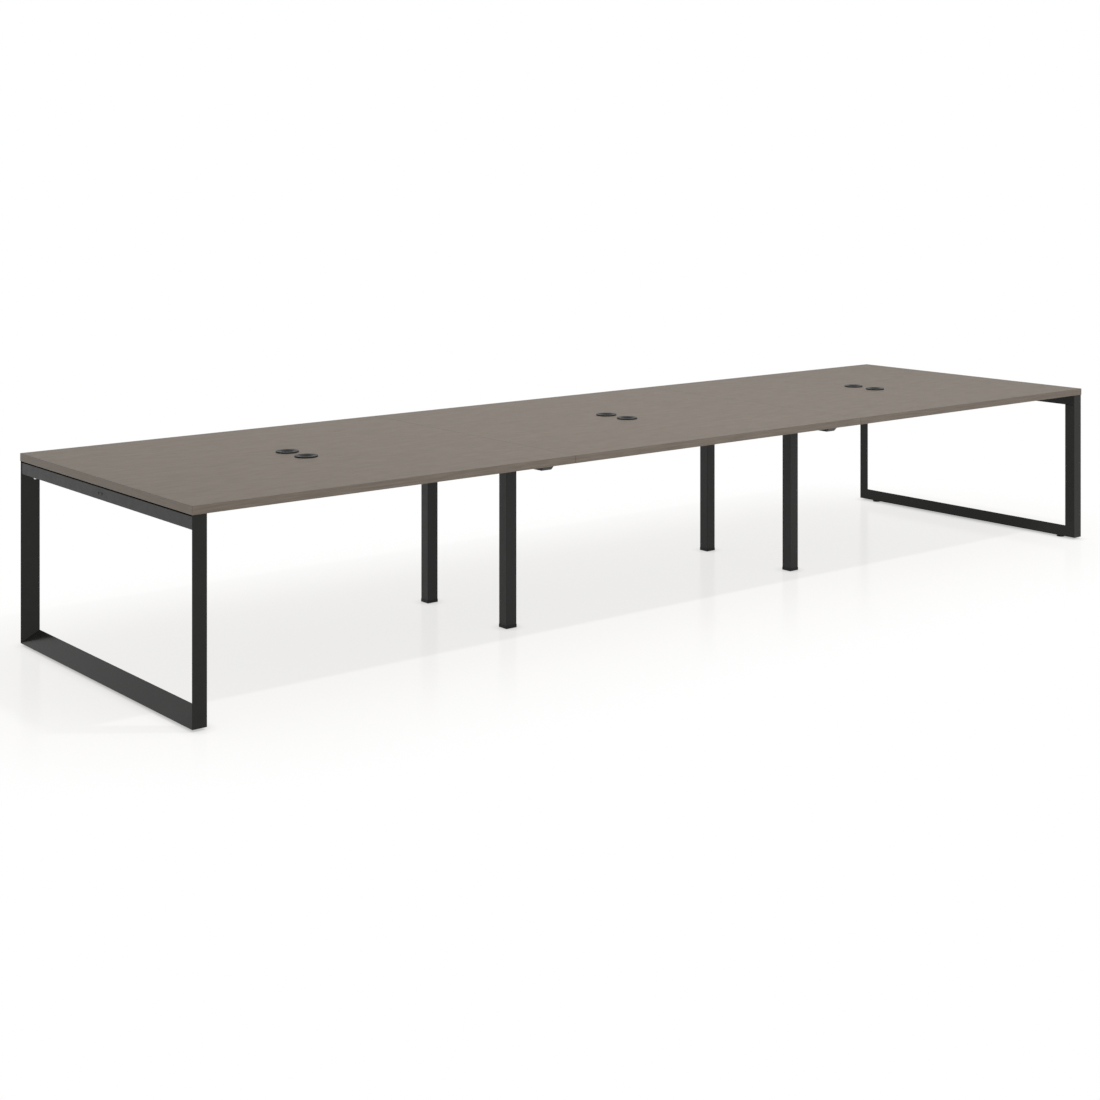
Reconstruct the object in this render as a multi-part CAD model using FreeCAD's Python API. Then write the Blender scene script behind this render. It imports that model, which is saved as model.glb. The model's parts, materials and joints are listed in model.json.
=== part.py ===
import FreeCAD, Part
import math
import os

Vector = FreeCAD.Vector

# Driving dimensions in millimetres
# The desk: X along its length, Y across it, Z up, origin on the floor under its middle
BAY_LENGTH = 1600.0
DESK_DEPTH = 1400.0
WORK_HEIGHT = 734.5

# Tops and their edge bands
TOP_THICKNESS = 30.0
SEAM_GAP = 0.5
BAND_THICKNESS = 2.0
BAND_CORNER = 2.0
BAND_ROUNDING = 0.8

# Cable grommets, a pair about the middle of each top
GROMMET_Y = 70.0
GROMMET_HOLE = 80.0
FLANGE_DIAMETER = 88.0
FLANGE_HEIGHT = 5.0
FLANGE_ROUNDING = 0.5
SLEEVE_CLEARANCE = 0.3
SLEEVE_DEPTH = 24.0
LID_DIAMETER = 64.0
LID_CLEARANCE = 0.3
LID_THICKNESS = 2.4
LID_RECESS = 0.8
LID_LIFT = 0.2
LEDGE_BORE = 56.0
NOTCH_WIDTH = 24.0
NOTCH_DEPTH = 18.0
CUP_DIAMETER = 56.0
CUP_DEPTH = 6.5
CUP_TAPER = 12.0
CUP_WALL = 2.0

# End frames: loops of a right-angled triangular section, flush with the tops' ends
FRAME_SIDE_INSET = 3.0
SECTION = 55.0
SECTION_WALL = 3.0
ARRIS_ROUNDING = 0.8
FRAME_CLEARANCE = 8.0
FRAME_FOOT_Y = 600.0
FRAME_FOOT_INSET = 32.0
RAIL_SETBACK = 3.5

# Rails, cross beams and long beams: one tube section
TUBE_WIDTH = 50.0
TUBE_HEIGHT = 44.0
TUBE_WALL = 2.0
TUBE_CORNER = 2.0
SHADOW_GAP = 5.5

# Inner legs
LEG_POST_Y = 273.0
ARM_REACH = 520.0
ARM_PLATE = 3.0

# End caps under the leg posts
CAP_BOTTOM = 0.8
CAP_TOP = 13.0
CAP_OVERHANG = 0.8
CAP_PLUG_HEIGHT = 30.0
CAP_PLUG_CLEARANCE = 0.3
CAP_POCKET = 42.0

# Levelling feet
PAD_DIAMETER = 38.0
PAD_HEIGHT = 4.0
PAD_ROUNDING = 1.0
FOOT_HEX = 14.0
FOOT_SHOULDER = 7.5
STUD_DIAMETER = 10.0
STUD_TOP = 27.0
STUD_HOLE = 11.0
STUD_CHAMFER = 1.0
NUT_HEX = 17.0
NUT_HEIGHT = 8.0

# Long beams' end plates and bolts
END_PLATE = 8.0
BOLT_Y = 14.0
BOLT_DIAMETER = 6.0
BOLT_HOLE = 6.6
BOLT_HEAD_DIAMETER = 10.5
BOLT_HEAD_HEIGHT = 1.8
BOLT_SOCKET = 4.0
ACCESS_LENGTH = 44.0
ACCESS_WIDTH = 30.0
ACCESS_INSET = 30.0

# Spacers and screws under the tops
SPACER_DIAMETER = 16.0
SCREW_DIAMETER = 5.0
SCREW_HOLE = 5.6
SCREW_BITE = 16.0
PILOT_DIAMETER = 5.2
PILOT_DEPTH = 17.0
SCREW_HEAD_DIAMETER = 9.0
SCREW_HEAD_HEIGHT = 3.0
DRIVER_HOLE = 14.0
RAIL_SCREW_Y = (180.0, 500.0)
BEAM_SCREW_X = 420.0

# Spigots under the top rails and their clamp screws
SPIGOT_LENGTH = 50.0
SPIGOT_CLEARANCE = 0.3
CLAMP_DROP = 13.8
CLAMP_ALONG = 0.765
CLAMP_DIAMETER = 6.0
CLAMP_POST_HOLE = 6.6
CLAMP_SPIGOT_HOLE = 6.4
CLAMP_HEAD_DIAMETER = 12.0
CLAMP_HEAD_HEIGHT = 3.0
CLAMP_LENGTH = 8.0

# Values worked out from these
FRAME_X = 1.5 * BAY_LENGTH
LEG_X = 0.5 * BAY_LENGTH
FRAME_Y = DESK_DEPTH / 2 - FRAME_SIDE_INSET
UNDERSIDE = WORK_HEIGHT - TOP_THICKNESS
RAIL_TOP = UNDERSIDE - SHADOW_GAP
RAIL_BOTTOM = RAIL_TOP - TUBE_HEIGHT
RAIL_MIDDLE = (RAIL_TOP + RAIL_BOTTOM) / 2
RAIL_END = FRAME_Y - SECTION_WALL
RAIL_FACE = FRAME_X - RAIL_SETBACK
RAIL_X = RAIL_FACE - TUBE_WIDTH / 2
LID_TOP = WORK_HEIGHT + FLANGE_HEIGHT - LID_RECESS
LEDGE = LID_TOP - LID_THICKNESS - LID_LIFT
FOOT_X = FRAME_X - FRAME_FOOT_INSET
ROOT2 = math.sqrt(2)
CLAMP_INWARD = Vector(1, -1, 0) / ROOT2
TOLERANCE = 0.01
PARALLEL = 0.999
BAYS = {"left": -BAY_LENGTH, "middle": 0.0, "right": BAY_LENGTH}
SIDES = {"left": -1, "right": 1}
ENDS = {"front": -1, "rear": 1}
X_AXIS = Vector(1, 0, 0)
Y_AXIS = Vector(0, 1, 0)
Z_AXIS = Vector(0, 0, 1)


def box(x_range, y_range, z_range):
    """Return a box between two limits on each axis."""
    corner = Vector(x_range[0], y_range[0], z_range[0])
    sizes = [high - low for low, high in (x_range, y_range, z_range)]
    return Part.makeBox(*sizes, corner)


def disc(diameter, x, y, z_range):
    """Return an upright cylinder between two heights."""
    return Part.makeCylinder(diameter / 2, z_range[1] - z_range[0], Vector(x, y, z_range[0]))


def rod(diameter, start, direction, length):
    """Return a cylinder from a point along a direction."""
    return Part.makeCylinder(diameter / 2, length, start, direction)


def hexagon(across_flats, x, y, z_range):
    """Return an upright hexagonal bar, flats square to Y."""
    radius = across_flats / math.sqrt(3)
    points = []
    for corner in range(7):
        angle = math.radians(60 * corner)
        points.append(Vector(x + radius * math.cos(angle), y + radius * math.sin(angle), z_range[0]))
    face = Part.Face(Part.makePolygon(points))
    return face.extrude(Vector(0, 0, z_range[1] - z_range[0]))


def prism(points, travel):
    """Return the closed polygon through the points, swept along a vector."""
    return Part.Face(Part.makePolygon(points + points[:1])).extrude(travel)


def edges_along(shape, axis):
    """Return the straight edges of a shape that run along an axis."""
    found = []
    for edge in shape.Edges:
        if isinstance(edge.Curve, Part.Line):
            if abs(edge.tangentAt(edge.FirstParameter).dot(axis)) > PARALLEL:
                found.append(edge)
    return found


def rounded_bar(x_range, y_range, z_range, axis, radius):
    """Return a box whose edges along one axis are rounded."""
    bar = box(x_range, y_range, z_range)
    return bar.makeFillet(radius, edges_along(bar, axis))


def inset(limits, amount):
    """Return a pair of limits drawn in by an amount at each end."""
    return limits[0] + amount, limits[1] - amount


def around(centre, size):
    """Return the limits of a size about a centre."""
    return centre - size / 2, centre + size / 2


def mirror_x(shape):
    """Return the shape's image across the desk's middle, end for end."""
    return shape.mirror(Vector(0, 0, 0), X_AXIS)


def mirror_y(shape):
    """Return the shape's image across the desk's middle, front for rear."""
    return shape.mirror(Vector(0, 0, 0), Y_AXIS)


def drill(shape, tools):
    """Return the shape with every tool cut from it."""
    for tool in tools:
        shape = shape.cut(tool)
    return shape


def top_limits(bay):
    """Return a top's limits along X, with half a seam gap where two tops meet."""
    low, high = around(BAYS[bay], BAY_LENGTH)
    if bay != "left":
        low += SEAM_GAP / 2
    if bay != "right":
        high -= SEAM_GAP / 2
    return low, high


def screw_places(bay):
    """Return where the screws under one top stand: on both cross members and on the long beam."""
    middle = BAYS[bay]
    places = [(middle - BEAM_SCREW_X, 0.0), (middle + BEAM_SCREW_X, 0.0)]
    rows = []
    for side in (-1, 1):
        member = middle + side * LEG_X
        on_end_rail = abs(member) > LEG_X + TOLERANCE
        rows.append(math.copysign(RAIL_X, member) if on_end_rail else member - side * TUBE_WIDTH / 4)
    for x in rows:
        for y in RAIL_SCREW_Y:
            places += [(x, -y), (x, y)]
    return places


def all_screw_places():
    """Return every screw's place under the three tops."""
    return [place for bay in BAYS for place in screw_places(bay)]


def board(bay):
    """Return one top's board, with its grommet holes and its screws' pilot holes."""
    x_range = inset(top_limits(bay), BAND_THICKNESS)
    y_range = inset(around(0.0, DESK_DEPTH), BAND_THICKNESS)
    solid = box(x_range, y_range, (UNDERSIDE, WORK_HEIGHT))
    tools = []
    for end in ENDS.values():
        tools.append(disc(GROMMET_HOLE, BAYS[bay], end * GROMMET_Y, (UNDERSIDE, WORK_HEIGHT)))
    for x, y in screw_places(bay):
        tools.append(disc(PILOT_DIAMETER, x, y, (UNDERSIDE, UNDERSIDE + PILOT_DEPTH)))
    return drill(solid, tools)


def edge_band(bay):
    """Return the band round one top, its outer edges eased."""
    x_range = top_limits(bay)
    y_range = around(0.0, DESK_DEPTH)
    z_range = (UNDERSIDE, WORK_HEIGHT)
    outer = rounded_bar(x_range, y_range, z_range, Z_AXIS, BAND_CORNER)
    rims = [edge for face in outer.Faces if abs(face.normalAt(0, 0).z) > PARALLEL for edge in face.Edges]
    outer = outer.makeFillet(BAND_ROUNDING, rims)
    return outer.cut(box(inset(x_range, BAND_THICKNESS), inset(y_range, BAND_THICKNESS), z_range))


def grommet_ring(bay, end):
    """Return a grommet's ring: a rounded flange, a sleeve in the hole and a ledge for the lid."""
    x, y = BAYS[bay], ENDS[end] * GROMMET_Y
    crown = WORK_HEIGHT + FLANGE_HEIGHT
    flange = disc(FLANGE_DIAMETER, x, y, (WORK_HEIGHT, crown))
    rim = [edge for edge in flange.Edges if edge.BoundBox.ZMin > crown - TOLERANCE]
    flange = flange.makeFillet(FLANGE_ROUNDING, rim)
    sleeve_diameter = GROMMET_HOLE - 2 * SLEEVE_CLEARANCE
    sleeve = disc(sleeve_diameter, x, y, (WORK_HEIGHT - SLEEVE_DEPTH, WORK_HEIGHT))
    seat = disc(LID_DIAMETER + 2 * LID_CLEARANCE, x, y, (LEDGE, crown))
    bore = disc(LEDGE_BORE, x, y, (WORK_HEIGHT - SLEEVE_DEPTH, LEDGE))
    lip = Part.makeCone(
        LID_DIAMETER / 2 + LID_CLEARANCE,
        LID_DIAMETER / 2 + LID_CLEARANCE + LID_RECESS,
        LID_RECESS,
        Vector(x, y, LID_TOP),
    )
    return drill(flange.fuse(sleeve).removeSplitter(), [seat, bore, lip])


def grommet_lid(bay, end):
    """Return a grommet's lid: a dished disc, notched at its front for cables."""
    x, y = BAYS[bay], ENDS[end] * GROMMET_Y
    rim_radius = CUP_DIAMETER / 2
    floor_radius = rim_radius - CUP_TAPER
    cup_floor = LID_TOP - CUP_DEPTH
    z_range = (cup_floor - CUP_WALL, LID_TOP)
    plate = disc(LID_DIAMETER, x, y, (LID_TOP - LID_THICKNESS, LID_TOP))
    shell = Part.makeCone(
        floor_radius + CUP_WALL,
        rim_radius + CUP_WALL,
        CUP_DEPTH + CUP_WALL,
        Vector(x, y, z_range[0]),
    )
    hollow = Part.makeCone(floor_radius, rim_radius, CUP_DEPTH, Vector(x, y, cup_floor))
    root = y - (LID_DIAMETER / 2 - NOTCH_DEPTH + NOTCH_WIDTH / 2)
    slot = box(around(x, NOTCH_WIDTH), (y - LID_DIAMETER, root), z_range)
    notch_end = disc(NOTCH_WIDTH, x, root, z_range)
    return drill(plate.fuse(shell).removeSplitter(), [hollow, slot, notch_end])


def section_points(offset):
    """Return the frame section's three corners, drawn in from its faces by an offset.

    The first number runs from the outer arris towards the desk, the second in from the flat outer face.
    """
    return [
        (offset * (1 + ROOT2), offset),
        (SECTION - offset, offset),
        (SECTION - offset, SECTION - offset * (1 + ROOT2)),
    ]


def post_prism(offset, z_range):
    """Return a left front post's section, drawn in by an offset, between two heights."""
    points = [Vector(a - FRAME_X, b - FRAME_Y, z_range[0]) for a, b in section_points(offset)]
    return prism(points, Vector(0, 0, z_range[1] - z_range[0]))


def clamp_point():
    """Return the place of the clamp screw on the left front post's bevelled face."""
    along = CLAMP_ALONG * SECTION
    return Vector(along - FRAME_X, along - FRAME_Y, RAIL_BOTTOM - CLAMP_DROP)


def left_front_post():
    """Return the post, mitred at its foot, whose flat face runs on past the top rail's end up to the top."""
    z_range = (FRAME_CLEARANCE, UNDERSIDE)
    outer = post_prism(0.0, z_range)
    outer = outer.makeFillet(ARRIS_ROUNDING, edges_along(outer, Z_AXIS))
    tube = outer.cut(post_prism(SECTION_WALL, z_range))
    corner = Vector(-FRAME_X, -FRAME_Y, FRAME_CLEARANCE)
    mitre = prism(
        [corner, corner + Vector(0, SECTION, SECTION), corner + Vector(0, SECTION, 0)],
        Vector(SECTION, 0, 0),
    )
    seat = box(
        (-FRAME_X, SECTION - FRAME_X),
        (-RAIL_END, SECTION - FRAME_Y),
        (RAIL_BOTTOM, UNDERSIDE),
    )
    start = clamp_point() - CLAMP_INWARD * SECTION_WALL
    hole = rod(CLAMP_POST_HOLE, start, CLAMP_INWARD, 3 * SECTION_WALL)
    return drill(tube, [mitre, seat, hole])


def left_foot_rail():
    """Return the rail between the left posts' feet, mitred at both ends, with the feet's holes."""
    def solid(offset):
        points = [Vector(a - FRAME_X, -FRAME_Y, b + FRAME_CLEARANCE) for a, b in section_points(offset)]
        return prism(points, Vector(0, 2 * FRAME_Y, 0))

    outer = solid(0.0)
    tube = outer.makeFillet(ARRIS_ROUNDING, edges_along(outer, Y_AXIS)).cut(solid(SECTION_WALL))
    low, high = FRAME_CLEARANCE, FRAME_CLEARANCE + SECTION
    between = prism(
        [
            Vector(-FRAME_X, -FRAME_Y, low),
            Vector(-FRAME_X, FRAME_Y, low),
            Vector(-FRAME_X, FRAME_Y - SECTION, high),
            Vector(-FRAME_X, SECTION - FRAME_Y, high),
        ],
        Vector(SECTION, 0, 0),
    )
    holes = [
        disc(STUD_HOLE, -FOOT_X, end * FRAME_FOOT_Y, (low, low + SECTION_WALL))
        for end in ENDS.values()
    ]
    return drill(tube.common(between), holes)


def tube_along_y(x, half_length):
    """Return the rail tube across the desk, with its screws' holes still to be drilled."""
    x_range = around(x, TUBE_WIDTH)
    z_range = (RAIL_BOTTOM, RAIL_TOP)
    y_range = (-half_length, half_length)
    outer = rounded_bar(x_range, y_range, z_range, Y_AXIS, TUBE_CORNER)
    return outer.cut(box(inset(x_range, TUBE_WALL), y_range, inset(z_range, TUBE_WALL)))


def screw_tools(x_range):
    """Return the tools for the screws' holes, and the driver's holes below them, in one member."""
    tools = []
    for x, y in all_screw_places():
        if x_range[0] < x < x_range[1]:
            tools.append(disc(SCREW_HOLE, x, y, (RAIL_TOP - TUBE_WALL, RAIL_TOP)))
            tools.append(disc(DRIVER_HOLE, x, y, (RAIL_BOTTOM, RAIL_BOTTOM + TUBE_WALL)))
    return tools


def bolt_tools(x_range):
    """Return the tools for the two beam bolts' holes through one member or plate."""
    return [
        rod(BOLT_HOLE, Vector(x_range[0], end * BOLT_Y, RAIL_MIDDLE), X_AXIS, x_range[1] - x_range[0])
        for end in ENDS.values()
    ]


def left_top_rail():
    """Return the rail across the left posts' tops."""
    x_range = around(-RAIL_X, TUBE_WIDTH)
    return drill(tube_along_y(-RAIL_X, RAIL_END), screw_tools(x_range) + bolt_tools(x_range))


def arm_outline(shorten):
    """Return the block that gives a cross beam its sloping ends, shortened square to each slope."""
    low = ARM_REACH - shorten * ROOT2
    high = low + TUBE_HEIGHT
    x_low, x_high = around(-LEG_X, TUBE_WIDTH)
    points = [
        Vector(x_low, -low, RAIL_BOTTOM),
        Vector(x_low, low, RAIL_BOTTOM),
        Vector(x_low, high, RAIL_TOP),
        Vector(x_low, -high, RAIL_TOP),
    ]
    return prism(points, Vector(x_high - x_low, 0, 0))


def left_cross_beam():
    """Return the left leg's cross beam, cut at 45 degrees at both ends."""
    x_range = around(-LEG_X, TUBE_WIDTH)
    tube = tube_along_y(-LEG_X, ARM_REACH + TUBE_HEIGHT).common(arm_outline(ARM_PLATE))
    return drill(tube, screw_tools(x_range) + bolt_tools(x_range))


def left_arm_plates():
    """Return the two plates that close the left cross beam's ends."""
    x_range = around(-LEG_X, TUBE_WIDTH)
    y_range = around(0.0, 2 * (ARM_REACH + TUBE_HEIGHT))
    bar = rounded_bar(x_range, y_range, (RAIL_BOTTOM, RAIL_TOP), Y_AXIS, TUBE_CORNER)
    return bar.common(arm_outline(0.0)).cut(arm_outline(ARM_PLATE)).Solids


def left_leg_post(end):
    """Return one square post of the left leg, between its end cap and the cross beam."""
    x_range = around(-LEG_X, TUBE_WIDTH)
    y_range = around(ENDS[end] * LEG_POST_Y, TUBE_WIDTH)
    z_range = (CAP_TOP, RAIL_BOTTOM)
    outer = rounded_bar(x_range, y_range, z_range, Z_AXIS, TUBE_CORNER)
    return outer.cut(box(inset(x_range, TUBE_WALL), inset(y_range, TUBE_WALL), z_range))


def leg_cap(x, y):
    """Return an end cap: a flange under the post, a plug inside it and a pocket for the foot's pad."""
    flange_size = TUBE_WIDTH + 2 * CAP_OVERHANG
    plug_size = TUBE_WIDTH - 2 * TUBE_WALL - 2 * CAP_PLUG_CLEARANCE
    z_range = (CAP_BOTTOM, CAP_TOP)
    flange = rounded_bar(around(x, flange_size), around(y, flange_size), z_range, Z_AXIS, TUBE_CORNER)
    plug = box(around(x, plug_size), around(y, plug_size), (CAP_TOP, CAP_PLUG_HEIGHT))
    pocket = disc(CAP_POCKET, x, y, (CAP_BOTTOM, FRAME_CLEARANCE))
    stud_hole = disc(STUD_HOLE, x, y, (FRAME_CLEARANCE, CAP_PLUG_HEIGHT))
    return drill(flange.fuse(plug), [pocket, stud_hole])


def foot_places():
    """Return each levelling foot's name and place on the floor."""
    places = {}
    for side, x_sign in SIDES.items():
        for end, y_sign in ENDS.items():
            places[f"{side}_frame_{end}"] = (x_sign * FOOT_X, y_sign * FRAME_FOOT_Y)
            places[f"{side}_leg_{end}"] = (x_sign * LEG_X, y_sign * LEG_POST_Y)
    return places


def foot_pad(x, y):
    """Return a foot's round pad with the hexagon that a spanner turns."""
    pad = disc(PAD_DIAMETER, x, y, (0.0, PAD_HEIGHT))
    rim = [edge for edge in pad.Edges if edge.BoundBox.ZMin > PAD_HEIGHT - TOLERANCE]
    pad = pad.makeFillet(PAD_ROUNDING, rim)
    return pad.fuse(hexagon(FOOT_HEX, x, y, (PAD_HEIGHT, FOOT_SHOULDER)))


def foot_stud(x, y):
    """Return a foot's stud, which stands on the hexagon."""
    stud = disc(STUD_DIAMETER, x, y, (FOOT_SHOULDER, STUD_TOP))
    tip = [edge for edge in stud.Edges if edge.BoundBox.ZMin > STUD_TOP - TOLERANCE]
    return stud.makeChamfer(STUD_CHAMFER, tip)


def foot_nuts():
    """Return the nuts inside the end frames' foot rails."""
    low = FRAME_CLEARANCE + SECTION_WALL
    nuts = []
    for name, (x, y) in foot_places().items():
        if "frame" in name:
            nut = hexagon(NUT_HEX, x, y, (low, low + NUT_HEIGHT))
            nuts.append(nut.cut(disc(STUD_HOLE, x, y, (low, low + NUT_HEIGHT))))
    return nuts


def beam_limits(bay):
    """Return the limits of the space that a long beam and its end plates fill along X."""
    if bay == "middle":
        return inset((-LEG_X, LEG_X), TUBE_WIDTH / 2)
    outer = RAIL_FACE - TUBE_WIDTH
    inner = LEG_X + TUBE_WIDTH / 2
    return (-outer, -inner) if bay == "left" else (inner, outer)


def long_beam(bay):
    """Return one bay's beam between its end plates, with slots below for reaching the bolts."""
    x_range = inset(beam_limits(bay), END_PLATE)
    y_range = around(0.0, TUBE_WIDTH)
    z_range = (RAIL_BOTTOM, RAIL_TOP)
    outer = rounded_bar(x_range, y_range, z_range, X_AXIS, TUBE_CORNER)
    tube = outer.cut(box(x_range, inset(y_range, TUBE_WALL), inset(z_range, TUBE_WALL)))
    tools = screw_tools(x_range)
    for start in (x_range[0] + ACCESS_INSET, x_range[1] - ACCESS_INSET - ACCESS_LENGTH):
        slot_x = (start, start + ACCESS_LENGTH)
        tools.append(box(slot_x, around(0.0, ACCESS_WIDTH), (RAIL_BOTTOM, RAIL_BOTTOM + TUBE_WALL)))
    return drill(tube, tools)


def beam_end_plates():
    """Return the plates on the long beams' ends."""
    y_range = around(0.0, TUBE_WIDTH)
    plates = []
    for bay in BAYS:
        low, high = beam_limits(bay)
        for x_range in ((low, low + END_PLATE), (high - END_PLATE, high)):
            plate = rounded_bar(x_range, y_range, (RAIL_BOTTOM, RAIL_TOP), X_AXIS, TUBE_CORNER)
            plates.append(drill(plate, bolt_tools(x_range)))
    return plates


def beam_bolt(head_x, inward, grip, y):
    """Return one flat-headed bolt along X, its head's inner face at head_x."""
    direction = X_AXIS * inward
    seat = Vector(head_x, y, RAIL_MIDDLE)
    shank = rod(BOLT_DIAMETER, seat, direction, grip)
    head = rod(BOLT_HEAD_DIAMETER, seat - direction * BOLT_HEAD_HEIGHT, direction, BOLT_HEAD_HEIGHT)
    socket = rod(BOLT_SOCKET, seat - direction * BOLT_HEAD_HEIGHT, direction, BOLT_HEAD_HEIGHT)
    return head.fuse(shank).cut(socket)


def beam_bolts():
    """Return the bolts through the end rails, and those that join two beams through a cross beam."""
    bolts = []
    for x_sign in SIDES.values():
        for y_sign in ENDS.values():
            y = y_sign * BOLT_Y
            bolts.append(beam_bolt(x_sign * RAIL_FACE, -x_sign, TUBE_WIDTH + END_PLATE, y))
            outside = LEG_X + TUBE_WIDTH / 2 + END_PLATE
            bolts.append(beam_bolt(x_sign * outside, -x_sign, TUBE_WIDTH + 2 * END_PLATE, y))
    return bolts


def top_spacers():
    """Return the spacers between the steel members and the tops."""
    z_range = (RAIL_TOP, UNDERSIDE)
    return [
        disc(SPACER_DIAMETER, x, y, z_range).cut(disc(SCREW_HOLE, x, y, z_range))
        for x, y in all_screw_places()
    ]


def top_screws():
    """Return the screws that hold the tops, their heads inside the steel members."""
    seat = RAIL_TOP - TUBE_WALL
    screws = []
    for x, y in all_screw_places():
        shank = disc(SCREW_DIAMETER, x, y, (seat, UNDERSIDE + SCREW_BITE))
        head = disc(SCREW_HEAD_DIAMETER, x, y, (seat - SCREW_HEAD_HEIGHT, seat))
        screws.append(shank.fuse(head))
    return screws


def four_corners(shape):
    """Return a left front shape and its images at the other three corners."""
    rear = mirror_y(shape)
    return [shape, rear, mirror_x(shape), mirror_x(rear)]


def rail_spigots():
    """Return the blocks under the top rails' ends, inside the posts."""
    z_range = (RAIL_BOTTOM - SPIGOT_LENGTH, RAIL_BOTTOM)
    block = post_prism(SECTION_WALL + SPIGOT_CLEARANCE, z_range)
    hole = rod(CLAMP_SPIGOT_HOLE, clamp_point(), CLAMP_INWARD, SECTION)
    return four_corners(block.cut(hole))


def clamp_screws():
    """Return the screws through the posts' bevelled faces into the spigots."""
    seat = clamp_point()
    shank = rod(CLAMP_DIAMETER, seat, CLAMP_INWARD, CLAMP_LENGTH)
    crown = seat - CLAMP_INWARD * CLAMP_HEAD_HEIGHT
    head = rod(CLAMP_HEAD_DIAMETER, crown, CLAMP_INWARD, CLAMP_HEAD_HEIGHT)
    rim = [edge for edge in head.Edges if (edge.CenterOfMass - crown).Length < TOLERANCE]
    head = head.makeFillet(CLAMP_HEAD_HEIGHT / 2, rim)
    return four_corners(head.fuse(shank))


def save(node, solids):
    """Write one node's solid, or its group of separate solids, and say what it holds."""
    shape = solids if isinstance(solids, Part.Shape) else Part.makeCompound(solids)
    shape.exportStep(f"parts/{node}.step")
    state = "valid" if shape.isValid() else "NOT VALID"
    print(f"{node}: {len(shape.Solids)} solids, {shape.Volume / 1000:.1f} cm3, {state}")


def save_tops():
    """Write the tops, their bands and the grommets."""
    for bay in BAYS:
        save(f"top_{bay}", board(bay))
        save(f"edge_band_{bay}", edge_band(bay))
        for end in ENDS:
            save(f"grommet_ring_{bay}_{end}", grommet_ring(bay, end))
            save(f"grommet_lid_{bay}_{end}", grommet_lid(bay, end))


def save_pair(name, shape):
    """Write a left piece and its image at the right."""
    save(f"left_{name}", shape)
    save(f"right_{name}", mirror_x(shape))


def save_frames():
    """Write the end frames and the inner legs."""
    post = left_front_post()
    save_pair("frame_front_post", post)
    save_pair("frame_rear_post", mirror_y(post))
    save_pair("frame_foot_rail", left_foot_rail())
    save_pair("frame_top_rail", left_top_rail())
    for end in ENDS:
        save_pair(f"leg_{end}_post", left_leg_post(end))
    save_pair("leg_cross_beam", left_cross_beam())
    plates = left_arm_plates()
    save("arm_end_plates", plates + [mirror_x(plate) for plate in plates])
    save("leg_end_caps", [leg_cap(*place) for name, place in foot_places().items() if "leg" in name])


def save_beams():
    """Write the long beams and what joins the steel and the tops."""
    for bay in BAYS:
        save(f"beam_{bay}", long_beam(bay))
    save("beam_end_plates", beam_end_plates())
    save("beam_bolts", beam_bolts())
    save("top_spacers", top_spacers())
    save("top_screws", top_screws())
    save("rail_spigots", rail_spigots())
    save("rail_clamp_screws", clamp_screws())


def save_feet():
    """Write the levelling feet and the nuts that they turn in."""
    for name, place in foot_places().items():
        save(f"foot_pad_{name}", foot_pad(*place))
        save(f"foot_stud_{name}", foot_stud(*place))
    save("foot_nuts", foot_nuts())


os.makedirs("parts", exist_ok=True)
save_tops()
save_frames()
save_beams()
save_feet()
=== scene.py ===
import bpy
import json
import math
import numpy as np
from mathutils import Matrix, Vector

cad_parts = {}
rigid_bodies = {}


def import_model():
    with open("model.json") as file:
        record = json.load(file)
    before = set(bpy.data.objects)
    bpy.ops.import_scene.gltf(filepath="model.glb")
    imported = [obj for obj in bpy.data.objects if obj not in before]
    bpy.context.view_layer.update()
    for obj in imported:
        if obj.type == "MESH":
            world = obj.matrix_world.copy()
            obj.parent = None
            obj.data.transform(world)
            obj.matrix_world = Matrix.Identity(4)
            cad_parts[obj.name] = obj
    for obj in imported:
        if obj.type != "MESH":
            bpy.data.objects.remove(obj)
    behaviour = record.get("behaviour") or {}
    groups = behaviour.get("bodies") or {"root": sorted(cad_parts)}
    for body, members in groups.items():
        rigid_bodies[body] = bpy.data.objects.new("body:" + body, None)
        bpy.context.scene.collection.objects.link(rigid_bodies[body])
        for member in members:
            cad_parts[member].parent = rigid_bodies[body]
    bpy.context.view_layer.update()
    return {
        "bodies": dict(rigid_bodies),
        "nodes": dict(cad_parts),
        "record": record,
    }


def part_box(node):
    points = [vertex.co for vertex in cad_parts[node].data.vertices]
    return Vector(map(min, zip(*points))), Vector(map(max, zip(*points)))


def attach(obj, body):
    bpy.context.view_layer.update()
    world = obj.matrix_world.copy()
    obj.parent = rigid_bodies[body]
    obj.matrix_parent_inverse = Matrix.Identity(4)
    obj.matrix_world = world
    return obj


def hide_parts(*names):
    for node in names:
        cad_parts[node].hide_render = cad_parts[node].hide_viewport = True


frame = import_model()
deskNodes = frame["nodes"]


# Shader building blocks

def linearColour(screenColour):
    # screen values 0 to 255 turned into the linear light that shaders take
    share = np.array(screenColour) / 255.0
    light = np.where(share <= 0.04045, share / 12.92, ((share + 0.055) / 1.055) ** 2.4)
    return (*light.tolist(), 1.0)


def addNode(tree, kind, settings=None, values=None):
    node = tree.nodes.new("ShaderNode" + kind)
    for key, value in (settings or {}).items():
        setattr(node, key, value)
    for key, value in (values or {}).items():
        node.inputs[key].default_value = value
    return node


def startMaterial(name, fixedSockets):
    # a fresh node material, with what is the same all over set on the shader's own sockets
    material = bpy.data.materials.new(name)
    material.use_nodes = True
    shader = material.node_tree.nodes["Principled BSDF"]
    for key, value in fixedSockets.items():
        shader.inputs[key].default_value = value
    place = addNode(material.node_tree, "TexCoord").outputs["Object"]
    return material, material.node_tree, shader, place


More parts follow.
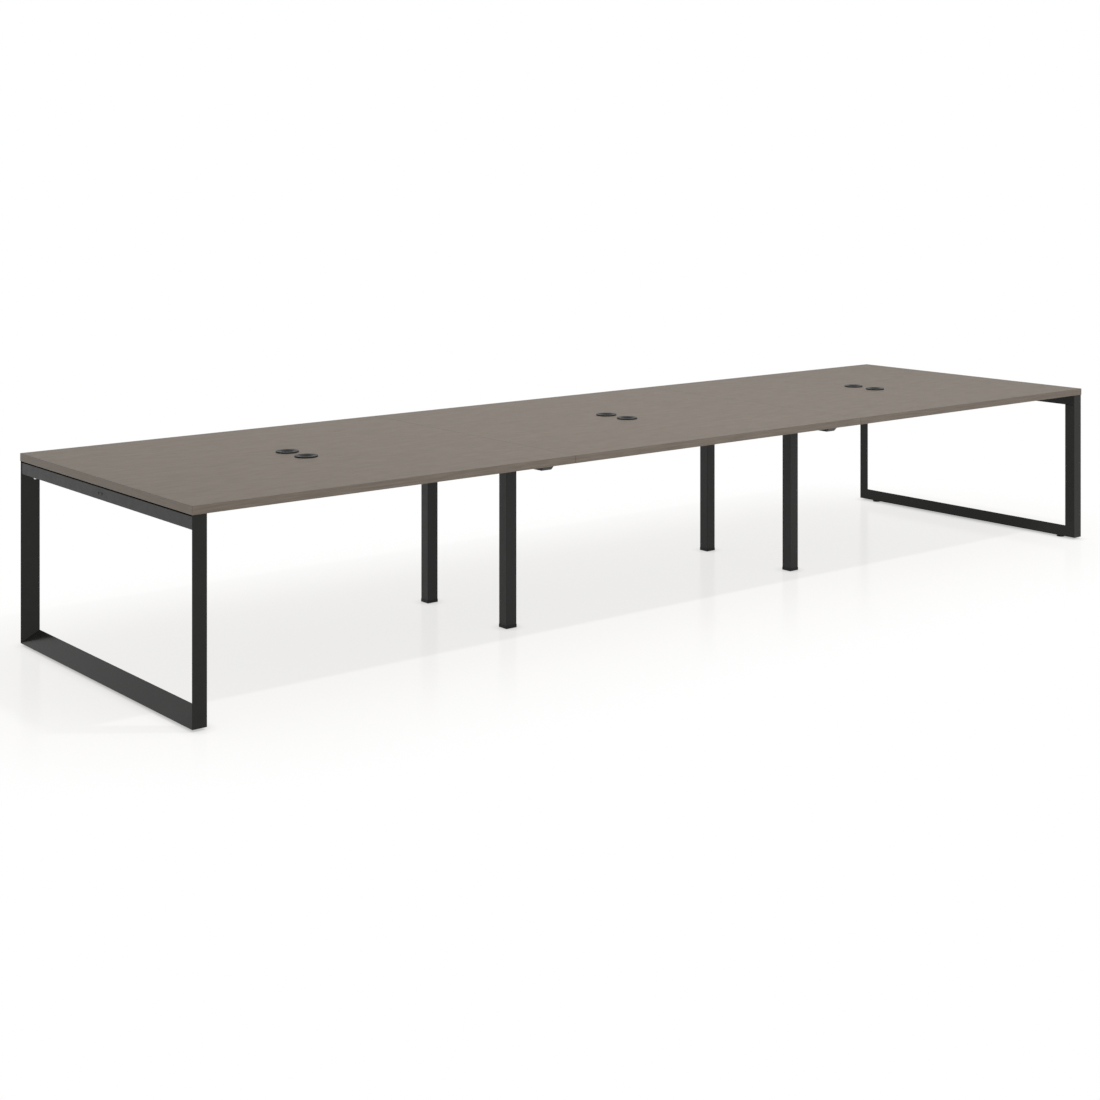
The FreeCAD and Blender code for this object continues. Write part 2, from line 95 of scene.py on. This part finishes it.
def noiseField(tree, place, perMetre, shift=(0, 0, 0), detail=2.0):
    # soft noise with its own number of features per metre on each axis
    mapping = addNode(tree, "Mapping", values={"Scale": perMetre, "Location": shift})
    noise = addNode(tree, "TexNoise", values={"Scale": 1.0, "Detail": detail})
    tree.links.new(place, mapping.inputs["Vector"])
    tree.links.new(mapping.outputs["Vector"], noise.inputs["Vector"])
    return noise.outputs["Fac"]


def blendFields(tree, first, second, share):
    # first x (1 - share) + second x share
    weighted = addNode(tree, "Math", {"operation": "MULTIPLY"}, {1: 1 - share})
    total = addNode(tree, "Math", {"operation": "MULTIPLY_ADD"}, {1: share})
    tree.links.new(first, weighted.inputs[0])
    tree.links.new(second, total.inputs[0])
    tree.links.new(weighted.outputs[0], total.inputs[2])
    return total.outputs[0]


noiseSpan = (0.3, 0.7)                       # most values of a noise field lie between these


def colourRamp(tree, field, lowColour, highColour, span=noiseSpan):
    # the low colour at the start of the span, the high colour at its end
    ramp = addNode(tree, "ValToRGB")
    for stop, position, colour in zip(ramp.color_ramp.elements, span, (lowColour, highColour)):
        stop.position = position
        stop.color = linearColour(colour)
    tree.links.new(field, ramp.inputs["Fac"])
    return ramp.outputs["Color"]


def rangeOf(tree, field, lowValue, highValue):
    # the noise span stretched to run from the low value to the high value
    spread = addNode(tree, "MapRange", values={"From Min": noiseSpan[0], "From Max": noiseSpan[1],
                                               "To Min": lowValue, "To Max": highValue})
    tree.links.new(field, spread.inputs["Value"])
    return spread.outputs["Result"]


def surfaceFacing(tree):
    # the parts of the surface's normal along X, Y and Z
    facing = addNode(tree, "SeparateXYZ")
    tree.links.new(addNode(tree, "NewGeometry").outputs["Normal"], facing.inputs["Vector"])
    return facing.outputs


def chooseColour(tree, share, first, second):
    # the first colour where the share is 0, the second where it is 1
    pick = addNode(tree, "Mix", {"data_type": "RGBA"})
    tree.links.new(share, pick.inputs["Factor"])
    tree.links.new(first, pick.inputs[6])    # inputs 6 and 7 take colours, output 2 gives one
    tree.links.new(second, pick.inputs[7])
    return pick.outputs[2]


def addBump(tree, shader, field, height):
    bump = addNode(tree, "Bump", values={"Strength": 1.0, "Distance": height})
    tree.links.new(field, bump.inputs["Height"])
    tree.links.new(bump.outputs["Normal"], shader.inputs["Normal"])


# Laminate of the tops: fine streaks along the desk, broader ones and soft clouds; the underside painted
# near black, painted shade that darkens the gap under the top
laminateLook = {
    "darkGrain": (99, 89, 79),
    "lightGrain": (115, 105, 93),
    "fineStreaks": (26.0, 520.0, 520.0),     # features per metre along X, Y and Z
    "fineDetail": 3.0,
    "broadStreaks": (9.0, 60.0, 60.0),
    "clouds": (12.0, 40.0, 40.0),
    "broadShare": 0.26,
    "cloudShare": 0.35,
    "rampEnds": (0.36, 0.64),
    "underFacing": -0.5,                     # a face that looks further down than this gets the painted shade
    # painted shade: the underside's near-black colour stands in for the shadow in the gap over the frames
    "undersideShadeDark": (30, 29, 28),
    "undersideShadeLight": (40, 39, 37),
    "roughness": (0.48, 0.60),
    "sheen": 0.20,
    "reliefMetres": 0.00002,
    "bayShift": {"left": (3.1, 0.7, 0), "middle": (11.4, 5.2, 0), "right": (19.8, 9.6, 0)},
}


def laminateMaterial(bay):
    look = laminateLook
    shift = look["bayShift"][bay]
    fixedSockets = {"Specular IOR Level": look["sheen"]}
    material, tree, shader, place = startMaterial(f"laminate_{bay}", fixedSockets)
    fine = noiseField(tree, place, look["fineStreaks"], shift, look["fineDetail"])
    broad = noiseField(tree, place, look["broadStreaks"], shift)
    clouds = noiseField(tree, place, look["clouds"], shift)
    streaks = blendFields(tree, fine, broad, look["broadShare"])
    grain = blendFields(tree, streaks, clouds, look["cloudShare"])
    # painted shade: faces that look down are coloured near black to darken the gap under the top
    undersideShadeMask = addNode(tree, "Math", {"operation": "LESS_THAN"}, {1: look["underFacing"]})
    tree.links.new(surfaceFacing(tree)["Z"], undersideShadeMask.inputs[0])
    face = colourRamp(tree, grain, look["darkGrain"], look["lightGrain"], look["rampEnds"])
    undersideShade = colourRamp(tree, clouds, look["undersideShadeDark"], look["undersideShadeLight"])
    tree.links.new(chooseColour(tree, undersideShadeMask.outputs[0], face, undersideShade), shader.inputs["Base Color"])
    tree.links.new(rangeOf(tree, fine, *look["roughness"]), shader.inputs["Roughness"])
    addBump(tree, shader, fine, look["reliefMetres"])
    return material


# Edge band: streaks along whichever edge it covers, darker where it meets the top's face
bandLook = {
    "darkGrain": (107, 98, 89),
    "lightGrain": (123, 113, 103),
    "rimDark": (78, 71, 64),
    "rimLight": (90, 82, 75),
    "rimFacing": (0.4, 0.9),                 # how far a face looks up before it counts as the rim
    "alongX": (8.0, 160.0, 160.0),
    "alongY": (160.0, 8.0, 160.0),
    "roughness": (0.44, 0.56),
    "sheen": 0.3,
    "reliefMetres": 0.000015,
}


def bandMaterial():
    look = bandLook
    material, tree, shader, place = startMaterial("edgeBand", {"Specular IOR Level": look["sheen"]})
    facing = surfaceFacing(tree)
    endFacing = addNode(tree, "Math", {"operation": "ABSOLUTE"})
    tree.links.new(facing["X"], endFacing.inputs[0])
    pick = addNode(tree, "Mix", {"data_type": "FLOAT"})
    tree.links.new(endFacing.outputs[0], pick.inputs["Factor"])
    tree.links.new(noiseField(tree, place, look["alongX"]), pick.inputs["A"])
    tree.links.new(noiseField(tree, place, look["alongY"]), pick.inputs["B"])
    grain = pick.outputs["Result"]
    upward = addNode(tree, "MapRange", values={"From Min": look["rimFacing"][0],
                                               "From Max": look["rimFacing"][1]})
    tree.links.new(facing["Z"], upward.inputs["Value"])
    edge = colourRamp(tree, grain, look["darkGrain"], look["lightGrain"])
    rim = colourRamp(tree, grain, look["rimDark"], look["rimLight"])
    tree.links.new(chooseColour(tree, upward.outputs["Result"], edge, rim), shader.inputs["Base Color"])
    tree.links.new(rangeOf(tree, grain, *look["roughness"]), shader.inputs["Roughness"])
    addBump(tree, shader, grain, look["reliefMetres"])
    return material


# Coats and metals: a base mottled by slow noise, with a fine even relief
powderLook = {
    "name": "powderCoat", "dark": (21, 21, 20), "light": (26, 26, 25),
    "mottle": 30.0, "fine": 850.0,           # features per metre
    "roughness": (0.40, 0.48), "reliefMetres": 0.00002,
    "sockets": {"Specular IOR Level": 0.33},
}
loopLook = {
    "name": "satinCoat", "dark": (30, 30, 28), "light": (34, 34, 32),
    "mottle": 30.0, "fine": 850.0,
    "roughness": (0.13, 0.18), "reliefMetres": 0.000005,
    "sockets": {"Specular IOR Level": 0.20},
    "pieces": ("front_post", "rear_post", "foot_rail"),
}
plasticLook = {
    "name": "mouldedPlastic", "dark": (15, 15, 16), "light": (22, 22, 23),
    "mottle": 60.0, "fine": 2600.0,
    "roughness": (0.46, 0.56), "reliefMetres": 0.00002,
    "sockets": {"Specular IOR Level": 0.26},
}
zincLook = {
    "name": "zincPlate", "dark": (206, 208, 211), "light": (232, 233, 234),
    "mottle": 260.0, "fine": 3200.0,
    "roughness": (0.24, 0.36), "reliefMetres": 0.000006,
    "sockets": {"Metallic": 1.0},
}
mottleDetail = 3.0                           # octaves of the slow noise, on every coat


def coatMaterial(look):
    material, tree, shader, place = startMaterial(look["name"], look["sockets"])
    mottle = noiseField(tree, place, (look["mottle"],) * 3, detail=mottleDetail)
    fine = noiseField(tree, place, (look["fine"],) * 3)
    colour = colourRamp(tree, mottle, look["dark"], look["light"])
    tree.links.new(colour, shader.inputs["Base Color"])
    tree.links.new(rangeOf(tree, mottle, *look["roughness"]), shader.inputs["Roughness"])
    addBump(tree, shader, fine, look["reliefMetres"])
    return material


finishes = {look["name"]: coatMaterial(look) for look in (powderLook, loopLook, plasticLook, zincLook)}
slotFinish = {
    "edge_band": bandMaterial(),
    "black_steel": finishes["powderCoat"],
    "black_plastic": finishes["mouldedPlastic"],
    "zinc_steel": finishes["zincPlate"],
}
nodeFinish = {f"top_{bay}": laminateMaterial(bay) for bay in laminateLook["bayShift"]}
for side in ("left", "right"):
    nodeFinish.update({f"{side}_frame_{piece}": finishes["satinCoat"] for piece in loopLook["pieces"]})
nodeFinish["arm_end_plates"] = finishes["satinCoat"]
for subpart in frame["record"]["subparts"]:
    node, slot = subpart["node"], subpart["material_slot"]
    mesh = deskNodes[node].data
    mesh.materials.clear()
    mesh.materials.append(nodeFinish[node] if node in nodeFinish else slotFinish[slot])
print("finishes set on every node")


# Surfaces from whole arrays

def skin(rings, startPole, endPole):
    # rows of closed rings joined by quads, each end closed by a fan to its pole
    rowCount, around = rings.shape[:2]
    here = np.arange(around)
    after = (here + 1) % around
    rows = np.arange(rowCount - 1)[:, None] * around
    quads = np.stack([rows + here, rows + after, rows + around + after, rows + around + here], -1)
    startIndex = rowCount * around
    lastRow = startIndex - around
    startFan = np.stack([np.full(around, startIndex), after, here], -1)
    endFan = np.stack([np.full(around, startIndex + 1), lastRow + here, lastRow + after], -1)
    points = np.vstack([rings.reshape(-1, 3), startPole, endPole])
    return points, quads.reshape(-1, 4), np.vstack([startFan, endFan])


sharpDegrees = 35.0                          # a sharper turn between two faces shows as an edge


def makePiece(name, skins, material, body, replaced):
    # several skins in one mesh, riding on a body in place of some solids
    points, faces, first = [], [], 0
    for skinPoints, quads, fans in skins:
        points.append(skinPoints)
        faces += (quads + first).tolist() + (fans + first).tolist()
        first += len(skinPoints)
    mesh = bpy.data.meshes.new(name)
    mesh.from_pydata(np.vstack(points).tolist(), [], faces)
    mesh.polygons.foreach_set("use_smooth", np.ones(len(faces), bool))
    mesh.set_sharp_from_angle(angle=math.radians(sharpDegrees))
    mesh.materials.append(material)
    piece = bpy.data.objects.new(name, mesh)
    bpy.context.scene.collection.objects.link(piece)
    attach(piece, body)
    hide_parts(*replaced)


# Threaded studs of the levelling feet, in metres
studThread = {
    "pitch": 0.0015, "depth": 0.0009, "neck": 0.0008, "chamfer": 0.0010,
    "around": 32, "rowsPerTurn": 10,         # points round the stud, rows in one turn of the thread
}


def threadedStud(node):
    # radius = outer radius - depth x triangle wave of (height / pitch - angle / full turn),
    # drawn in by the neck at the bottom and the chamfer at the top
    look = studThread
    low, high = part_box(node)
    centre = (low + high) / 2
    outer = (high.x - low.x) / 2
    rowCount = int((high.z - low.z) / look["pitch"] * look["rowsPerTurn"])
    height = np.linspace(low.z, high.z, rowCount)[:, None]
    angle = np.arange(look["around"])[None, :] * 2 * math.pi / look["around"]
    turn = (height / look["pitch"] - angle / (2 * math.pi)) % 1.0
    radius = outer - look["depth"] * np.abs(2 * turn - 1)
    radius = np.where(height < low.z + look["neck"], outer - look["depth"], radius)
    radius = np.minimum(radius, outer - np.clip(height - (high.z - look["chamfer"]), 0, None))
    rings = np.stack([centre.x + radius * np.cos(angle), centre.y + radius * np.sin(angle),
                      height + 0 * angle], -1)
    return skin(rings, (centre.x, centre.y, low.z), (centre.x, centre.y, high.z))


for body in frame["bodies"]:
    if body.startswith("foot_"):
        stud = body.replace("foot_", "foot_stud_", 1)
        name = body.replace("foot_", "threadedStud_", 1)
        makePiece(name, [threadedStud(stud)], finishes["zincPlate"], body, [stud])
print("threaded studs made")


# Socket screws: a profile turned about the screw's axis, its recess drawn to a hexagon
socketScrew = {
    "around": 48, "easingRows": 5,           # points round the screw, rows in its eased edge
    "hexRim": 1.06, "tip": 0.0006, "lead": 0.0002,
}
boltSize = {
    "shank": 0.0030, "head": 0.00525,        # radii
    "height": 0.0014, "easing": 0.0014, "hexFlat": 0.0030, "recess": 0.0004,
}
clampSize = {
    "shank": 0.0030, "head": 0.0060,
    "height": 0.0030, "easing": 0.0015, "hexFlat": 0.0040, "recess": 0.0020, "length": 0.0080,
    "alongPost": 0.765,                      # share of the post's section from its outer corner
}


def socketSkin(size, grip, seat, outward):
    # profile rows are radius, height and hexagon share;
    # radius at an angle = row's radius x (1 - share + share x hexagon(angle))
    arc = np.linspace(0, math.pi / 2, socketScrew["easingRows"])
    shank, head, top, easing = size["shank"], size["head"], size["height"], size["easing"]
    corner = size["hexFlat"] / math.sqrt(3)
    rim = corner * socketScrew["hexRim"]
    floor = top - size["recess"]
    tip = socketScrew["tip"]
    rows = [(shank - tip, -grip, 0), (shank, tip - grip, 0), (shank, 0, 0), (head, 0, 0)]
    rows += [(head - easing * (1 - math.cos(a)), top - easing * (1 - math.sin(a)), 0) for a in arc]
    rows += [(rim, top, 0), (corner, top - socketScrew["lead"], 1), (corner, floor, 1)]
    radius, height, share = np.array(rows).T[:, :, None]
    angle = np.arange(socketScrew["around"])[None, :] * 2 * math.pi / socketScrew["around"]
    sixth = math.pi / 3
    hexagon = math.cos(sixth / 2) / np.cos(angle % sixth - sixth / 2)
    radius = radius * (1 - share + share * hexagon)
    outward = np.array(outward) / np.linalg.norm(outward)
    side = np.cross((0, 0, 1), outward)
    up = np.cross(outward, side)
    spokes = np.cos(angle)[..., None] * side + np.sin(angle)[..., None] * up
    rings = np.array(seat) + radius[..., None] * spokes + (height + 0 * angle)[..., None] * outward
    return skin(rings, np.array(seat) - grip * outward, np.array(seat) + floor * outward)


def boltSeats():
    # each head's face and the length that it grips: through an end rail and a plate,
    # or through a cross beam and two plates
    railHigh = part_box("right_frame_top_rail")[1]
    crossLow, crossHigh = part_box("right_leg_cross_beam")
    beamLow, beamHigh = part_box("beam_right")
    plate = beamLow.x - crossHigh.x
    return ((railHigh.x, railHigh.x - beamHigh.x), (beamLow.x, crossHigh.x - crossLow.x + 2 * plate))


def middleHeight(node):
    low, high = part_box(node)
    return (low.z + high.z) / 2


postLow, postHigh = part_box("right_frame_rear_post")
clampInset = clampSize["alongPost"] * (postHigh.x - postLow.x)
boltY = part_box("beam_bolts")[1].y - boltSize["head"]
boltSkins, clampSkins = [], []
for xSign in (-1, 1):
    for ySign in (-1, 1):
        for face, grip in boltSeats():
            boltSeat = (xSign * face, ySign * boltY, middleHeight("beam_bolts"))
            boltSkins.append(socketSkin(boltSize, grip, boltSeat, (xSign, 0, 0)))
        clampSeat = (xSign * (postHigh.x - clampInset), ySign * (postHigh.y - clampInset),
                     middleHeight("rail_clamp_screws"))
        clampSkins.append(socketSkin(clampSize, clampSize["length"], clampSeat, (xSign, -ySign, 0)))
makePiece("beamBolts", boltSkins, finishes["powderCoat"],
          "desk", ["beam_bolts"])
makePiece("railClampScrews", clampSkins, finishes["zincPlate"],
          "desk", ["rail_clamp_screws"])
print("socket screws made")


# Camera: level, with the lens shifted, as the photograph's upright posts show
cameraLook = {
    "photoSide": 1100.0,
    "focalPixels": 1835.774,
    "principalPixel": (593.018, 160.490),
    "place": (-5.19540, -6.10181, 1.85329),
    "headingDegrees": 39.6776,               # from +Y towards +X
    "sensor": 36.0,
}


def setCamera():
    look = cameraLook
    data = bpy.data.cameras.new("photoCamera")
    data.sensor_width = look["sensor"]
    data.lens = look["sensor"] * look["focalPixels"] / look["photoSide"]
    data.shift_x = 0.5 - look["principalPixel"][0] / look["photoSide"]
    data.shift_y = look["principalPixel"][1] / look["photoSide"] - 0.5
    camera = bpy.data.objects.new("photoCamera", data)
    camera.location = look["place"]
    camera.rotation_euler = (math.pi / 2, 0, -math.radians(look["headingDegrees"]))
    bpy.context.scene.collection.objects.link(camera)
    bpy.context.scene.camera = camera


setCamera()
print("camera set")


# Studio: an even white room, a small lamp high in front and a pale floor
studioLook = {
    "zenith": 0.56,
    "horizon": 0.62,
    "lampPlace": (0.27, -2.8, 6.0),
    "lampSize": 0.45,
    "lampTilt": 76.0,                        # degrees from straight down, towards the rear
    "lampWatts": 315.0,
    "floorHalf": 60.0,
    "floorDrop": 0.0003,
    "floorColour": (255, 253, 247),
    "floorIor": 1.2,
    "floorRoughness": 0.15,
    "nearTint": (255, 254, 253),             # the floor's own pale tone beside the desk
    "farTint": (255, 255, 255),
    "nearWhite": 0.765,                      # share of plain white beside the desk
    "barCentre": (-0.10, 0.05, 0.0),         # a bar under the desk, from which the white grows
    "barHalf": (1.85, 0.0, 0.0),
    "whiteFrom": 0.5,
    "whiteTo": 1.55,
    "contactReach": 0.050,                   # how near a piece has to be to shade the floor beside it
    "contactDepth": 0.45,
    "contactSamples": 8,
}
plainWhite = (1.0, 1.0, 1.0, 1.0)


def seenRays(tree):
    # 1 for camera, glossy and transmission rays
    path = addNode(tree, "LightPath")
    seen = path.outputs["Is Camera Ray"]
    for ray in ("Is Glossy Ray", "Is Transmission Ray"):
        larger = addNode(tree, "Math", {"operation": "MAXIMUM"})
        tree.links.new(seen, larger.inputs[0])
        tree.links.new(path.outputs[ray], larger.inputs[1])
        seen = larger.outputs[0]
    return seen


def setWorld():
    look = studioLook
    world = bpy.data.worlds.new("studioRoom")
    bpy.context.scene.world = world
    world.use_nodes = True
    tree = world.node_tree
    tree.nodes.clear()
    direction = addNode(tree, "SeparateXYZ")
    tree.links.new(addNode(tree, "TexCoord").outputs["Generated"], direction.inputs["Vector"])
    glow = addNode(tree, "MapRange", values={"To Min": look["horizon"], "To Max": look["zenith"]})
    tree.links.new(direction.outputs["Z"], glow.inputs["Value"])
    room = addNode(tree, "Background", values={"Color": plainWhite})
    tree.links.new(glow.outputs["Result"], room.inputs["Strength"])
    white = addNode(tree, "Background", values={"Color": plainWhite, "Strength": 1.0})
    mix = addNode(tree, "MixShader")
    output = addNode(tree, "OutputWorld")
    tree.links.new(seenRays(tree), mix.inputs["Fac"])
    tree.links.new(room.outputs[0], mix.inputs[1])
    tree.links.new(white.outputs[0], mix.inputs[2])
    tree.links.new(mix.outputs[0], output.inputs["Surface"])


def awayFromBar(tree):
    # 0 near the bar to 1 away from it; distance = length of max(|place - centre| - half, 0)
    look = studioLook
    place = addNode(tree, "TexCoord").outputs["Object"]
    steps = (("SUBTRACT", look["barCentre"]), ("ABSOLUTE", None), ("SUBTRACT", look["barHalf"]),
             ("MAXIMUM", (0, 0, 0)), ("LENGTH", None))
    for operation, value in steps:
        step = addNode(tree, "VectorMath", {"operation": operation}, {1: value} if value else None)
        tree.links.new(place, step.inputs[0])
        place = step.outputs["Value" if operation == "LENGTH" else "Vector"]
    fade = addNode(tree, "MapRange", {"interpolation_type": "SMOOTHSTEP"},
                   {"From Min": look["whiteFrom"], "From Max": look["whiteTo"]})
    tree.links.new(place, fade.inputs["Value"])
    return fade.outputs["Result"]


def floorMaterial():
    look = studioLook
    material = bpy.data.materials.new("paleFloor")
    material.use_nodes = True
    tree = material.node_tree
    tree.nodes.clear()
    matt = addNode(tree, "BsdfDiffuse", values={"Color": linearColour(look["floorColour"])})
    gloss = addNode(tree, "BsdfGlossy", values={"Color": plainWhite, "Roughness": look["floorRoughness"]})
    fresnel = addNode(tree, "Fresnel", values={"IOR": look["floorIor"]})
    surface = addNode(tree, "MixShader")
    tree.links.new(fresnel.outputs[0], surface.inputs["Fac"])
    tree.links.new(matt.outputs[0], surface.inputs[1])
    tree.links.new(gloss.outputs[0], surface.inputs[2])
    fade = awayFromBar(tree)
    near = look["nearWhite"]                 # white share = near + fade x (1 - near)
    whiteShare = addNode(tree, "Math", {"operation": "MULTIPLY_ADD"}, {1: 1 - near, 2: near})
    tree.links.new(fade, whiteShare.inputs[0])
    seenShare = addNode(tree, "Math", {"operation": "MULTIPLY"})
    tree.links.new(whiteShare.outputs[0], seenShare.inputs[0])
    tree.links.new(seenRays(tree), seenShare.inputs[1])
    openShare = addNode(tree, "AmbientOcclusion", {"samples": look["contactSamples"]},
                        {"Distance": look["contactReach"]})
    depth = look["contactDepth"]             # contact = 1 - depth x (1 - open share)
    contact = addNode(tree, "Math", {"operation": "MULTIPLY_ADD"}, {1: depth, 2: 1 - depth})
    tree.links.new(openShare.outputs["AO"], contact.inputs[0])
    white = addNode(tree, "Emission")
    tree.links.new(contact.outputs[0], white.inputs["Strength"])
    tint = colourRamp(tree, fade, look["nearTint"], look["farTint"], (0.0, 1.0))
    tree.links.new(tint, white.inputs["Color"])
    mix = addNode(tree, "MixShader")
    tree.links.new(seenShare.outputs[0], mix.inputs["Fac"])
    tree.links.new(surface.outputs[0], mix.inputs[1])
    tree.links.new(white.outputs[0], mix.inputs[2])
    output = addNode(tree, "OutputMaterial")
    tree.links.new(mix.outputs[0], output.inputs["Surface"])
    return material


def setFloor():
    look = studioLook
    half, height = look["floorHalf"], -look["floorDrop"]
    mesh = bpy.data.meshes.new("floor")
    corners = [(-half, -half, height), (half, -half, height), (half, half, height), (-half, half, height)]
    mesh.from_pydata(corners, [], [(0, 1, 2, 3)])
    mesh.materials.append(floorMaterial())
    floor = bpy.data.objects.new("floor", mesh)
    bpy.context.scene.collection.objects.link(floor)


def setLamp():
    look = studioLook
    data = bpy.data.lights.new("frontLamp", "AREA")
    data.shape = "DISK"
    data.size = look["lampSize"]
    data.energy = look["lampWatts"]
    lamp = bpy.data.objects.new("frontLamp", data)
    lamp.location = look["lampPlace"]
    lamp.rotation_euler = (math.radians(look["lampTilt"]), 0, 0)
    bpy.context.scene.collection.objects.link(lamp)


setWorld()
setFloor()
setLamp()
bpy.context.scene.view_settings.view_transform = "Standard"
print("studio set")
